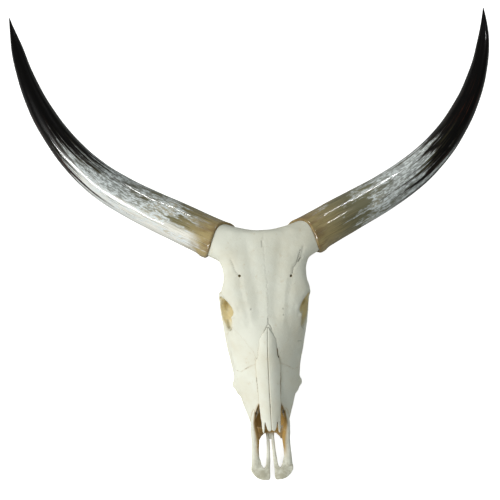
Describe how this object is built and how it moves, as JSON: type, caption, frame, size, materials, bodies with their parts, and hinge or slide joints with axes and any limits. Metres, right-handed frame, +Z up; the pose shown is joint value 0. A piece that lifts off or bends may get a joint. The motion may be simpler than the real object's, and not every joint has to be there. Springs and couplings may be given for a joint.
{
  "type": "longhorn steer skull",
  "caption": "Bleached cattle skull without its lower jaw, with long polished horns that sweep out and back, lying on its cheek teeth.",
  "frame": {"origin": "on the floor, under the middle of the whole skull with its horns", "axes": "+X towards the animal's left, -Y towards the nose, +Z up from the floor that the cheek teeth rest on"},
  "size_m": [0.9828, 0.9646, 0.2062],
  "materials": {
    "bone": "matt bleached bone",
    "horn": "polished horn"
  },
  "bodies": {
    "root": {"cranium": "bone", "lacrimal_left": "bone", "lacrimal_right": "bone", "maxilla_left": "bone", "maxilla_right": "bone", "nasal_left": "bone", "nasal_right": "bone", "premaxilla_left": "bone", "premaxilla_right": "bone", "zygomatic_left": "bone", "zygomatic_right": "bone", "horn_left": "horn", "horn_right": "horn"}
  },
  "joints": []
}
